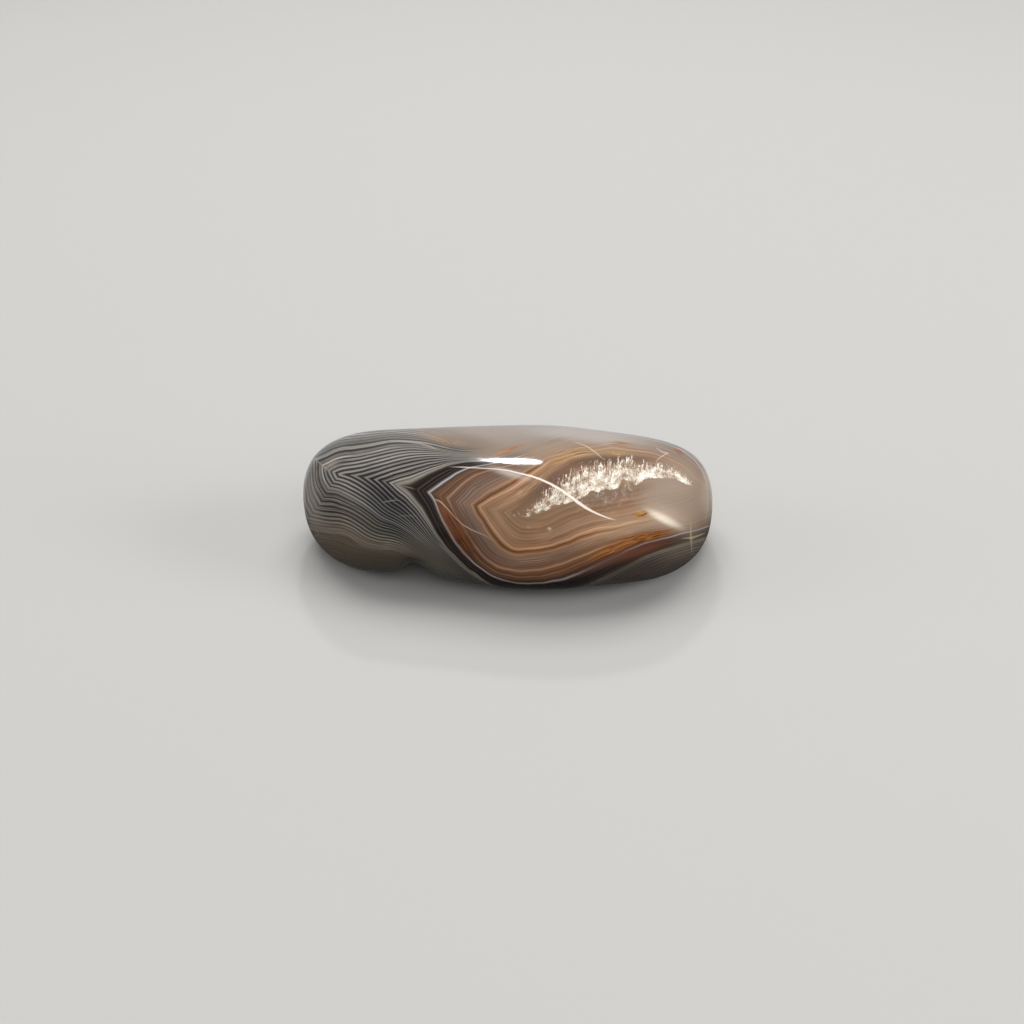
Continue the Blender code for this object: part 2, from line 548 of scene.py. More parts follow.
# The quartz seam: points on its lower edge, and how far it reaches up from there, in pixels.
SEAM = (
    (502, 517, 1.5), (512, 516.5, 5), (525, 516.5, 8), (540, 512.5, 13), (550, 508, 16), (558, 504, 20),
    (572, 500.5, 21), (583, 496.5, 21), (590, 491, 23), (602, 490.5, 29), (611, 489.5, 29), (618, 486, 27),
    (622.5, 480, 20), (628, 479, 18), (632, 483.5, 21), (636, 486, 23), (639.5, 483, 19), (643, 479, 14),
    (650, 477.5, 13), (662, 477.5, 12), (672, 478, 10), (681, 481, 7), (688, 484.5, 4), (694, 487, 1),
)


@dataclass(frozen=True)
class Patch:
    """A soft-edged oval patch: its middle, its half lengths, its tilt (clockwise, in degrees).

    A tint's colour multiplies the bands, and ink does too while it widens the dark lines; one tint is partly
    painted light.
    The clouds' and the stains' colours cover them; some clouds are painted shade, one a painted glow. The
    edge grows crisper with firmness.
    """

    layer: Layer
    middle: Pixel
    half_size: Pixel
    tilt: float
    colour: Colour
    strength: float = 1.0
    firmness: float = 1.0

    def at(self, pixels: np.ndarray) -> np.ndarray:
        """How strong the patch is, which falls off as a bell.

        Args:
            pixels: one row of picture coordinates for each place.

        Returns:
            The strength at each place.
        """
        turn = math.radians(self.tilt)
        away = pixels - np.array(self.middle)
        along = away[:, 0] * math.cos(turn) + away[:, 1] * math.sin(turn)
        across = away[:, 1] * math.cos(turn) - away[:, 0] * math.sin(turn)
        reach = (along / self.half_size[0]) ** 2 + (across / self.half_size[1]) ** 2
        return self.strength * np.exp(-(reach**self.firmness))


PATCHES = (
    # The ink beside the black bands, and the tints; the one on the left tip is partly painted light.
    Patch(Layer.INK, (387, 504), (36, 19), 45, (0.62, 0.66, 0.72), 1.0, 1.5),
    Patch(Layer.TINT, (535, 566), (50, 15), 0, (1.55, 1.50, 1.40), 1.0, 1.5),
    Patch(Layer.TINT, (603, 543), (36, 18), -22, (1.75, 1.70, 1.42), 1.0, 1.5),
    Patch(Layer.TINT, (652, 531), (34, 18), -14, (1.35, 1.25, 1.10), 1.0, 1.5),
    Patch(Layer.TINT, (535, 528), (40, 12), -12, (1.10, 1.08, 1.00)),
    Patch(Layer.TINT, (482, 505), (18, 40), 25, (0.84, 0.85, 0.84), 1.0, 1.5),
    # Lighter at the left tip: the tip's paler bands, lifted further as painted light.
    Patch(Layer.TINT, (310, 492), (11, 26), -8, (1.80, 1.80, 1.85)),
    Patch(Layer.TINT, (345, 501), (24, 14), 33, (1.12, 1.12, 1.13)),
    Patch(Layer.TINT, (392, 530), (26, 12), 35, (0.86, 0.87, 0.88)),
    Patch(Layer.TINT, (540, 547.5), (34, 5), 0, (1.13, 1.09, 1.00)),
    Patch(Layer.TINT, (528, 584), (56, 4.5), 0, (0.62, 0.54, 0.46)),
    Patch(Layer.TINT, (620, 558), (56, 6), -27, (0.70, 0.66, 0.62)),
    Patch(Layer.TINT, (600, 567), (44, 9), -24, (0.60, 0.50, 0.46)),
    # The clouds, each over those before it. Those along the underside are painted shade over the plain dark
    # grey, and one low on the right end is a painted glow.
    # Lighter at the left tip: the tip's pale lines, with painted light over them.
    Patch(Layer.CLOUD_AND_PAINTED_LIGHT, (308, 492), (9, 36), -8, (0.340, 0.310, 0.280), 0.50),
    Patch(Layer.CLOUD_AND_PAINTED_LIGHT, (330, 464), (9, 4), -34, (0.420, 0.370, 0.310), 0.40),
    # Along the underside: the plain dark grey of the outer bands, made darker still as painted shade where
    # the stone turns under.
    Patch(Layer.CLOUD_AND_PAINTED_LIGHT, (332, 562), (50, 17), 6, (0.096, 0.074, 0.053), 0.95, 1.6),
    Patch(Layer.CLOUD_AND_PAINTED_LIGHT, (392, 566), (60, 13), 6, (0.068, 0.055, 0.040), 0.95, 1.6),
    Patch(Layer.CLOUD_AND_PAINTED_LIGHT, (430, 561), (30, 19), 42, (0.095, 0.083, 0.066), 0.90, 1.5),
    # Painted shade: the dark in the hollow low on the front.
    Patch(Layer.CLOUD_AND_PAINTED_LIGHT, (412, 559), (13, 3.5), 12, (0.030, 0.026, 0.021), 0.75),
    Patch(Layer.CLOUD_AND_PAINTED_LIGHT, (466, 582), (24, 7), 26, (0.075, 0.067, 0.055), 0.75, 1.5),
    Patch(Layer.CLOUD_AND_PAINTED_LIGHT, (650, 574), (64, 20), -14, (0.048, 0.036, 0.029), 0.97, 2.0),
    Patch(Layer.CLOUD_AND_PAINTED_LIGHT, (684, 548), (26, 9), -20, (0.120, 0.090, 0.065), 0.60, 1.5),
    Patch(Layer.CLOUD_AND_PAINTED_LIGHT, (607, 561), (32, 4.5), -24, (0.120, 0.062, 0.048), 0.80, 1.5),
    Patch(Layer.CLOUD_AND_PAINTED_LIGHT, (640, 550), (34, 5.5), -19, (0.150, 0.055, 0.032), 0.75, 1.5),
    Patch(Layer.CLOUD_AND_PAINTED_LIGHT, (510, 447), (38, 9), -8, (0.250, 0.185, 0.140), 0.97, 2.0),
    Patch(Layer.CLOUD_AND_PAINTED_LIGHT, (494, 433), (64, 14.5), 2, (0.262, 0.210, 0.170), 0.97, 2.2),
    Patch(Layer.CLOUD_AND_PAINTED_LIGHT, (458, 438), (34, 8), 10, (0.180, 0.125, 0.088), 0.75, 1.3),
    Patch(Layer.CLOUD_AND_PAINTED_LIGHT, (590, 434), (66, 10), 6, (0.340, 0.290, 0.250), 0.95, 2.0),
    Patch(Layer.CLOUD_AND_PAINTED_LIGHT, (550, 449), (32, 9), -12, (0.290, 0.205, 0.145), 0.92, 1.8),
    Patch(Layer.CLOUD_AND_PAINTED_LIGHT, (660, 450), (50, 14), 24, (0.250, 0.185, 0.132), 0.40, 1.6),
    Patch(Layer.CLOUD_AND_PAINTED_LIGHT, (602, 452), (36, 6), 0, (0.300, 0.200, 0.110), 0.70, 1.4),
    Patch(Layer.CLOUD_AND_PAINTED_LIGHT, (680, 496), (42, 36), 10, (0.295, 0.225, 0.170), 0.95, 2.2),
    Patch(Layer.CLOUD_AND_PAINTED_LIGHT, (640, 522), (44, 11), -8, (0.370, 0.265, 0.180), 0.60, 1.3),
    Patch(Layer.CLOUD_AND_PAINTED_LIGHT, (546, 486), (34, 9.5), -38, (0.120, 0.068, 0.045), 0.95, 1.5),
    Patch(Layer.CLOUD_AND_PAINTED_LIGHT, (600, 460), (46, 5.5), -2, (0.115, 0.068, 0.045), 0.92, 1.4),
    Patch(Layer.CLOUD_AND_PAINTED_LIGHT, (606, 494), (34, 8), -10, (0.170, 0.112, 0.082), 0.85, 1.4),
    Patch(Layer.CLOUD_AND_PAINTED_LIGHT, (532, 508), (22, 8), -12, (0.140, 0.082, 0.052), 0.60, 1.3),
    Patch(Layer.CLOUD_AND_PAINTED_LIGHT, (509, 472.5), (20, 3.6), 16, (0.560, 0.490, 0.440), 0.60, 1.2),
    # Painted glow: a milky white patch and a softer halo round it, standing in for the light that shines
    # through the lower right of the stone.
    Patch(Layer.CLOUD_AND_PAINTED_LIGHT, (664, 518.5), (17, 4.0), 27, (0.930, 0.800, 0.660), 0.98, 1.5),
    Patch(Layer.CLOUD_AND_PAINTED_LIGHT, (668, 516), (24, 9), 25, (0.560, 0.450, 0.350), 0.40),
    # Painted shade along the underside, over the plain dark grey.
    Patch(Layer.CLOUD_AND_PAINTED_LIGHT, (464, 573), (36, 5.5), 40, (0.060, 0.053, 0.043), 0.90, 1.5),
    Patch(Layer.CLOUD_AND_PAINTED_LIGHT, (709, 493), (8, 24), 0, (0.400, 0.330, 0.265), 0.80, 1.5),
    Patch(Layer.CLOUD_AND_PAINTED_LIGHT, (536, 513), (26, 13), -25, (0.235, 0.136, 0.076), 0.55, 1.5),
    Patch(Layer.CLOUD_AND_PAINTED_LIGHT, (549, 528.3), (1.6, 1.4), 0, (0.750, 0.600, 0.420), 0.85),
    Patch(Layer.CLOUD_AND_PAINTED_LIGHT, (528, 527), (1.4, 1.4), 0, (0.500, 0.380, 0.250), 0.40),
    # The iron stains.
    Patch(Layer.STAIN, (508, 450), (17, 3.0), -21, (0.330, 0.130, 0.045), 0.85),
    Patch(Layer.STAIN, (621, 443.5), (13, 3.0), 4, (0.260, 0.130, 0.055), 0.85, 1.3),
    Patch(Layer.STAIN, (616, 453), (9, 2.2), 2, (0.330, 0.200, 0.070), 0.7),
    Patch(Layer.STAIN, (677.5, 450.5), (6.5, 2.6), 42, (0.200, 0.060, 0.022), 1.0, 1.4),
    Patch(Layer.STAIN, (455, 528), (38, 8), 60, (0.125, 0.044, 0.017), 1.0, 1.5),
    Patch(Layer.STAIN, (643, 537), (30, 5), -14, (0.225, 0.080, 0.021), 1.0, 1.5),
    Patch(Layer.STAIN, (612, 549), (28, 5.5), -24, (0.300, 0.115, 0.035), 0.85, 1.3),
    Patch(Layer.STAIN, (640, 514), (7.5, 4.6), 0, (0.340, 0.170, 0.055), 1.0, 1.2),
    Patch(Layer.STAIN, (440, 438), (24, 4.5), 15, (0.230, 0.145, 0.085), 0.8),
    Patch(Layer.STAIN, (568, 454), (34, 7), -16, (0.360, 0.215, 0.105), 0.75),
    Patch(Layer.STAIN, (526, 490), (34, 5), -36, (0.330, 0.190, 0.100), 0.5),
)


@dataclass(frozen=True)
class Depth:
    """How the bands drift, in pixels, behind the part of the stone that the camera sees.

    The drift swings in waves, whose length is in metres. Down the picture it swings by a share of
    what it does across it, and in longer waves.
    """

    drift: Pixel = (26.0, -10.0)
    wave: float = 9.0
    wave_length: float = 0.031
    wave_start: float = 1.0
    down_share: float = 0.6
    down_turn: float = 0.7

    def drifted(self, pixels: np.ndarray, places: np.ndarray, hidden: np.ndarray) -> np.ndarray:
        """Picture coordinates with the drift added.

        Args:
            pixels: one row of picture coordinates for each place.
            places: the places themselves, in metres.
            hidden: from 0 at the outline seen by the camera to 1 where the stone faces away.

        Returns:
            One row of drifted picture coordinates for each place.
        """
        turn = 2 * math.pi / self.wave_length
        x, y, z = places.T
        swing = self.wave * np.sin(x * turn + self.wave_start) * np.cos(z * turn)
        across = self.drift[0] + swing
        down = self.drift[1] + self.down_share * self.wave * np.sin(x * turn * self.down_turn + y * turn)
        return pixels + hidden[:, None] * np.column_stack([across, down])


class BandPattern:
    """Everything that is drawn in the stone, measured at each vertex of its mesh.

    The hidden share grows from 0 at the outline that the camera sees, as a power of how far the
    surface turns away. Fine lines and the seam have ended by a small share of it, and stains fade
    more slowly, to a faint rest. Away from its course, what is stored of a line fades out over
    LINE_FADE pixels, and what is stored of the seam over SEAM_FADE.
    """

    PIXEL_MIDDLE = 0.5
    HIDDEN_POWER = 1.5
    LINES_END = 0.1
    LINE_FADE = 4
    SEAM_FADE = 15
    STAIN_FADE = 0.75
    STAIN_FADE_RATE = 3
    LEAST_COVER = 1e-3

    def __init__(self, camera: PhotoCamera, depth: Depth) -> None:
        """Fits the fields of the three limbs.

        Args:
            camera: the camera that saw the courses.
            depth: how the bands drift behind what it saw.
        """
        self.camera = camera
        self.depth = depth
        self.fields = {
            Limb.UPPER: CourseField(UPPER_COURSES),
            Limb.MIDDLE: CourseField(MIDDLE_COURSES),
            Limb.LOWER: CourseField(LOWER_COURSES),
        }

    def write(self, mesh: bpy.types.Mesh) -> None:
        """Stores the pattern on the mesh.

        Args:
            mesh: the stone's mesh, which gets one attribute for each part of the pattern.
        """
        places = vertex_places(mesh)
        normals = vertex_normals(mesh)
        to_camera = np.array(self.camera.position) - places
        to_camera /= np.linalg.norm(to_camera, axis=1, keepdims=True)
        facing = (normals * to_camera).sum(axis=1)
        hidden = np.clip(-facing, 0, 1) ** self.HIDDEN_POWER
        pixels = self.depth.drifted(self.camera.pixels_of(places), places, hidden) - self.PIXEL_MIDDLE
        counts = np.column_stack([self.fields[limb].at(pixels) for limb in Limb])
        self.store(mesh, "limbs", counts)
        shown = np.clip(1 - hidden / self.LINES_END, 0, 1)
        for line in FINE_LINES:
            place = nearest_on(line.course, pixels)
            near = np.clip(2 - np.abs(place.side) / self.LINE_FADE, 0, 1)
            self.store(mesh, line.name, np.column_stack([place.side, place.value, near * shown]))
        seam = nearest_on(SEAM, pixels)
        reach = seam.value * shown * np.clip(3 - np.abs(seam.side) / self.SEAM_FADE, 0, 1)
        self.store(mesh, "seam", np.column_stack([pixels[:, 0] - SEAM[0][0], -seam.side, reach]))
        self.store_layers(mesh, pixels, hidden)

    def store_layers(self, mesh: bpy.types.Mesh, pixels: np.ndarray, hidden: np.ndarray) -> None:
        """Adds the tints, the clouds and the stains, some of which are painted light and shade.

        Args:
            mesh: the stone's mesh.
            pixels: one row of picture coordinates for each vertex.
            hidden: from 0 at the outline seen by the camera to 1 where the stone faces away.
        """
        faint = 1 - self.STAIN_FADE * np.clip(hidden * self.STAIN_FADE_RATE, 0, 1)
        tint = np.ones((len(pixels), 3))
        ink = np.zeros(len(pixels))
        for patch in PATCHES:
            if patch.layer in (Layer.TINT, Layer.INK):
                share = patch.at(pixels)
                tint *= np.array(patch.colour) ** share[:, None]
                ink += share * (patch.layer is Layer.INK)
        self.store_colour(mesh, Layer.TINT.value, np.column_stack([tint, ink]))
        for layer in (Layer.CLOUD_AND_PAINTED_LIGHT, Layer.STAIN):
            body = np.zeros((len(pixels), 3))
            cover = np.zeros((len(pixels), 1))
            for patch in PATCHES:
                if patch.layer is layer:
                    share = (patch.at(pixels) * (faint if layer is Layer.STAIN else 1))[:, None]
                    body = body * (1 - share) + np.array(patch.colour) * share
                    cover = cover * (1 - share) + share
            colour = body / np.maximum(cover, self.LEAST_COVER)
            self.store_colour(mesh, layer.value, np.column_stack([colour, cover]))

    @staticmethod
    def store_colour(mesh: bpy.types.Mesh, name: str, rows: np.ndarray) -> None:
        """Adds one attribute of a colour and a share for each vertex."""
        attribute = mesh.attributes.new(name, "FLOAT_COLOR", "POINT")
        attribute.data.foreach_set("color", rows.astype(np.float32).ravel())

    @staticmethod
    def store(mesh: bpy.types.Mesh, name: str, rows: np.ndarray) -> None:
        """Adds one attribute of three numbers for each vertex."""
        attribute = mesh.attributes.new(name, "FLOAT_VECTOR", "POINT")
        attribute.data.foreach_set("vector", rows.astype(np.float32).ravel())


class NodeTree:
    """A shader node tree, with a short call for each kind of node that the finishes use."""

    # Where Blender's Mix node has its two colours among its inputs, and the blended one among its outputs.
    MIX_FIRST, MIX_SECOND, MIX_RESULT = 6, 7, 2

    def __init__(self, tree: bpy.types.NodeTree) -> None:
        """Wraps a tree.

        Args:
            tree: the material's or the world's node tree.
        """
        self.tree = tree

    def feed(self, socket: Socket, value: Socket | float | Colour | None) -> None:
        """Links a socket into another, or sets a constant on it.

        Args:
            socket: the input to fill.
            value: the output that feeds it, or a constant, or None to leave it as it is.
        """
        if isinstance(value, bpy.types.NodeSocket):
            self.tree.links.new(value, socket)
        elif isinstance(value, tuple) and socket.type == "RGBA":
            socket.default_value = (*value, 1.0)
        elif value is not None:
            socket.default_value = value

    def node(self, kind: str, **settings: object) -> bpy.types.Node:
        """Adds a node.

        Args:
            kind: Blender's name for the kind of node.
            settings: the node's own properties, by name.

        Returns:
            The new node.
        """
        made = self.tree.nodes.new(kind)
        for name, value in settings.items():
            setattr(made, name, value)
        return made

    def math(self, operation: str, first: Socket | float, second: Socket | float | None = None,
             third: Socket | float | None = None, clamp: bool = False) -> Socket:
        """One arithmetic step.

        Args:
            operation: Blender's name for it.
            first: the first number.
            second: the second number, where the step takes one.
            third: the third number, where the step takes one.
            clamp: whether the result is held between 0 and 1.

        Returns:
            The result's socket.
        """
        made = self.node("ShaderNodeMath", operation=operation, use_clamp=clamp)
        for socket, value in zip(made.inputs, (first, second, third)):
            self.feed(socket, value)
        return made.outputs[0]

    def times(self, first: Socket, *others: Socket | float) -> Socket:
        """Numbers multiplied together.

        Args:
            first: the first number.
            others: the numbers that multiply it, in order.

        Returns:
            The product's socket.
        """
        product = first
        for other in others:
            product = self.math("MULTIPLY", product, other)
        return product

    def step(self, value: Socket, start: float, end: float) -> Socket:
        """A smooth rise.

        Args:
            value: the number that drives it.
            start: where the rise is still 0.
            end: where it has reached 1, above the start or below it.

        Returns:
            The rise's socket.
        """
        made = self.node("ShaderNodeMapRange", interpolation_type="SMOOTHSTEP")
        self.feed(made.inputs["Value"], value)
        self.feed(made.inputs["From Min"], start)
        self.feed(made.inputs["From Max"], end)
        return made.outputs["Result"]

    def mix(self, share: Socket | float, first: Socket | Colour, second: Socket | Colour,
            blend: str = "MIX") -> Socket:
        """One colour blended into another.

        Args:
            share: how much of the second colour shows.
            first: the colour below.
            second: the colour above.
            blend: Blender's name for the way of blending.

        Returns:
            The blended colour's socket.
        """
        made = self.node("ShaderNodeMix", data_type="RGBA", blend_type=blend, clamp_factor=True)
        self.feed(made.inputs[0], share)
        self.feed(made.inputs[self.MIX_FIRST], first)
        self.feed(made.inputs[self.MIX_SECOND], second)
        return made.outputs[self.MIX_RESULT]

    def ramp(self, value: Socket, stops: list[tuple[float, Colour]]) -> Socket:
        """A colour ramp.

        Args:
            value: where on the ramp, from 0 to 1.
            stops: places and colours, in order.

        Returns:
            The colour's socket.
        """
        made = self.node("ShaderNodeValToRGB")
        made.color_ramp.interpolation = "LINEAR"
        elements = made.color_ramp.elements
        elements.remove(elements[1])
        elements[0].position = stops[0][0]
        elements[0].color = (*stops[0][1], 1.0)
        for place, colour in stops[1:]:
            elements.new(place).color = (*colour, 1.0)
        self.feed(made.inputs[0], value)
        return made.outputs["Color"]

    def stored(self, name: str) -> bpy.types.Node:
        """The node that reads one of the mesh's attributes."""
        return self.node("ShaderNodeAttribute", attribute_type="GEOMETRY", attribute_name=name)

    def numbers(self, name: str) -> tuple[Socket, Socket, Socket]:
        """The three numbers in one of the mesh's attributes.

        Args:
            name: the attribute's name.

        Returns:
            A socket for each number.
        """
        made = self.stored(name)
        split = self.node("ShaderNodeSeparateXYZ")
        self.feed(split.inputs[0], made.outputs["Vector"])
        return split.outputs[0], split.outputs[1], split.outputs[2]

    def colour_and_share(self, name: str) -> tuple[Socket, Socket]:
        """The colour and the share in one of the mesh's attributes."""
        made = self.stored(name)
        return made.outputs["Color"], made.outputs["Alpha"]

    def noise(self, vector: Socket, scale: float, detail: float = 2.0, roughness: float = 0.5) -> Socket:
        """Cloudy noise.

        Args:
            vector: the place to read it at.
            scale: how many clouds there are to a unit of length.
            detail: how many sizes of finer clouds are added.
            roughness: how strong the finer ones are.

        Returns:
            The noise's socket, about 0.5.
        """
        made = self.node("ShaderNodeTexNoise")
        self.feed(made.inputs["Vector"], vector)
        self.feed(made.inputs["Scale"], scale)
        self.feed(made.inputs["Detail"], detail)
        self.feed(made.inputs["Roughness"], roughness)
        return made.outputs["Fac"]

    def vector(self, x: Socket | float, y: Socket | float, z: Socket | float = 0.0) -> Socket:
        """Three numbers as one vector.

        Args:
            x: the first number.
            y: the second number.
            z: the third number.

        Returns:
            The vector's socket.
        """
        made = self.node("ShaderNodeCombineXYZ")
        for socket, value in zip(made.inputs, (x, y, z)):
            self.feed(socket, value)
        return made.outputs[0]


@dataclass(frozen=True)
class BandColour:
    """A colour at one band count."""

    count: float
    colour: Colour


def run_of(*entries: tuple[float, float, float, float]) -> tuple[BandColour, ...]:
    """Band colours from rows of a band count and the colour's three parts."""
    return tuple(BandColour(entry[0], entry[1:]) for entry in entries)


def shares_of(*entries: tuple[float, float]) -> tuple[BandColour, ...]:
    """Greys that stand for shares, from rows of a band count and a share."""
    return run_of(*((count, share, share, share) for count, share in entries))


@dataclass(frozen=True)
class BandPalette:
    """The colours across the bands, from the outermost to the innermost.

    The outer bands are pairs of a light and a dark line. The inner ones are a run of colours. The
    contrast is how dark the dark lines get, and between is the same for the thin lines between
    them. The quartz's colours run from its dimmest facets to its brightest.
    """

    light: tuple[BandColour, ...] = run_of(
        (-14, 0.100, 0.078, 0.056), (-11, 0.108, 0.084, 0.062), (-9.5, 0.165, 0.133, 0.104),
        (-8.5, 0.205, 0.168, 0.135), (-6.5, 0.228, 0.206, 0.172), (-5.5, 0.262, 0.240, 0.207),
        (-4.5, 0.190, 0.172, 0.150), (-3.5, 0.215, 0.198, 0.174), (-2.5, 0.175, 0.158, 0.136),
        (-1, 0.260, 0.240, 0.216), (0.3, 0.185, 0.168, 0.152), (1.5, 0.345, 0.320, 0.285),
        (2.5, 0.268, 0.246, 0.220), (3.5, 0.250, 0.230, 0.206), (4.5, 0.226, 0.210, 0.190),
        (5.5, 0.196, 0.182, 0.168), (6.5, 0.190, 0.176, 0.163), (7.5, 0.190, 0.174, 0.158),
        (8.5, 0.235, 0.218, 0.200), (9.5, 0.165, 0.148, 0.135), (10.5, 0.250, 0.230, 0.200),
    )
    dark: tuple[BandColour, ...] = run_of(
        (-14, 0.090, 0.070, 0.050), (-10, 0.105, 0.082, 0.060), (-8, 0.120, 0.094, 0.070),
        (-6, 0.070, 0.056, 0.042), (-4, 0.046, 0.038, 0.028), (-2, 0.034, 0.028, 0.020),
        (0, 0.034, 0.028, 0.023), (3, 0.044, 0.038, 0.032), (6, 0.030, 0.024, 0.021),
        (10.5, 0.028, 0.022, 0.018),
    )
    contrast: tuple[BandColour, ...] = shares_of(
        (-14, 0.15), (-11, 0.4), (-9, 0.8), (-6, 1), (0.4, 1), (0.8, 0.8), (1.3, 0.8), (2, 0.95),
        (2.6, 1), (10.5, 1),
    )
    between: tuple[BandColour, ...] = shares_of(
        (-12, 0), (-7, 0.65), (-5, 0.85), (-1, 0.95), (1.6, 0.85), (3, 0.5), (5, 0.2), (10.5, 0.2),
    )
    black_bands: tuple[BandColour, ...] = run_of(
        (10.0, 0.030, 0.024, 0.019), (10.12, 0.150, 0.140, 0.120), (10.3, 0.235, 0.222, 0.196),
        (10.45, 0.190, 0.176, 0.150), (10.58, 0.060, 0.050, 0.040), (10.72, 0.130, 0.118, 0.096),
        (10.9, 0.225, 0.207, 0.172), (11.15, 0.190, 0.174, 0.144), (11.4, 0.085, 0.072, 0.058),
        (11.6, 0.030, 0.023, 0.018), (12.0, 0.022, 0.016, 0.012), (12.4, 0.004, 0.002, 0.001),
        (13.0, 0.026, 0.017, 0.013), (13.2, 0.045, 0.031, 0.025), (13.4, 0.006, 0.003, 0.002),
        (13.8, 0.008, 0.005, 0.004), (14.1, 0.040, 0.028, 0.026), (14.4, 0.008, 0.005, 0.004),
        (14.8, 0.030, 0.024, 0.022), (15.15, 0.120, 0.110, 0.108), (15.45, 0.300, 0.285, 0.290),
        (15.7, 0.230, 0.200, 0.190), (15.95, 0.060, 0.036, 0.028), (16.7, 0.086, 0.044, 0.027),
        (17.1, 0.130, 0.067, 0.039), (17.4, 0.082, 0.038, 0.020), (17.75, 0.200, 0.115, 0.070),
        (17.9, 0.104, 0.042, 0.019),
    )
    brown_bands: tuple[BandColour, ...] = run_of(
        (17.9, 0.104, 0.042, 0.019), (18.2, 0.090, 0.042, 0.023), (18.7, 0.125, 0.062, 0.035),
        (19.0, 0.120, 0.058, 0.032), (19.35, 0.240, 0.140, 0.090), (19.65, 0.200, 0.112, 0.072),
        (19.9, 0.120, 0.062, 0.038), (20.2, 0.165, 0.095, 0.062), (20.5, 0.118, 0.062, 0.038),
        (20.8, 0.150, 0.084, 0.055), (21.1, 0.112, 0.060, 0.038), (21.4, 0.190, 0.115, 0.080),
        (21.7, 0.150, 0.090, 0.062), (22.0, 0.215, 0.140, 0.102), (22.3, 0.170, 0.108, 0.078),
        (22.6, 0.225, 0.145, 0.105), (22.9, 0.160, 0.095, 0.066), (23.1, 0.205, 0.124, 0.086),
        (23.35, 0.150, 0.082, 0.054), (23.9, 0.282, 0.166, 0.106), (24.3, 0.245, 0.130, 0.072),
        (24.55, 0.200, 0.085, 0.034), (24.8, 0.150, 0.058, 0.020), (25.15, 0.250, 0.120, 0.060),
        (25.55, 0.450, 0.262, 0.155), (25.95, 0.440, 0.255, 0.152), (26.2, 0.300, 0.160, 0.088),
        (26.6, 0.250, 0.135, 0.074), (27.3, 0.215, 0.118, 0.064), (27.8, 0.260, 0.152, 0.092),
        (29.5, 0.220, 0.122, 0.068), (31.0, 0.250, 0.150, 0.092),
    )
    quartz: tuple[BandColour, ...] = run_of(
        (0.30, 0.180, 0.115, 0.080), (0.48, 0.330, 0.240, 0.175), (0.62, 0.510, 0.425, 0.325),
        (0.78, 0.730, 0.660, 0.560), (0.95, 0.930, 0.900, 0.860),
    )


@dataclass(frozen=True)
class Polish:
    """How the surface is finished."""

    roughness: float = 0.08
    refraction: float = 1.54


@dataclass(frozen=True)
class Streaks:
    """Noise drawn out along the bands.

    Fineness is how many streaks there are to a band, turn is how soon a streak ends, and detail and
    roughness are the noise's own.
    """

    fineness: float
    turn: float = 1.5
    detail: float = 2.0
    roughness: float = 0.6


@dataclass(frozen=True)
class BandDrawing:
    """How the bands, the patches over them and the fine lines are drawn.

    An edge is two values of what it reads: nothing shows at the first, and all of it at the second.
    The dark lines and the thin ones between them read the cosine of the count, which is 1 in the
    middle of a dark line and -1 half way between two. A depth is how far a noise makes a colour
    lighter and darker, as a share of it. The fine lines' edges are in pixels.
    """

    drift_scale: float = 70.0
    waver_scale: float = 420.0
    waver_detail: float = 3.0
    waver: float = 0.25
    upper_edge: Edge = (0.0, 0.05)
    ink_weight: float = 0.75
    dark_edge: Edge = (-0.65, 0.55)
    between_edge: Edge = (-0.45, -0.98)
    between_streaks: Streaks = Streaks(0.7, 4.0)
    between_shown: Edge = (0.35, 0.6)
    black_edge: Edge = (10.0, 10.2)
    brown_edge: Edge = (17.8, 18.0)
    broad_streaks: Streaks = Streaks(0.9)
    broad_depth: float = 0.6
    fine_streaks: Streaks = Streaks(2.3, 3.0)
    fine_depth: float = 2.0
    cloud_and_painted_light_streaks: Streaks = Streaks(1.8, 3.0, 3.0)
    cloud_and_painted_light_depth: float = 0.24
    stain_streaks: Streaks = Streaks(1.3, 5.0, 3.0)
    stain_contrast: float = 3.0
    stain_offset: float = -0.55
    stain_edge: Edge = (0.05, 0.9)
    stain_shades: Streaks = Streaks(2.4, 8.0, 3.0)
    stain_depth: float = 6.0
    line_edge: Edge = (0.55, -0.35)
    line_end: Edge = (0.05, 0.4)


@dataclass(frozen=True)
class Grains:
    """Noise on the seam: its grains to a pixel, its detail and roughness, and where it is cut."""

    scale: float
    detail: float
    roughness: float
    cut: float

    def on(self, nodes: NodeTree, run: Socket, height: Socket) -> Socket:
        """The noise at a place on the seam."""
        return nodes.noise(nodes.vector(run, height, self.cut), self.scale, self.detail, self.roughness)


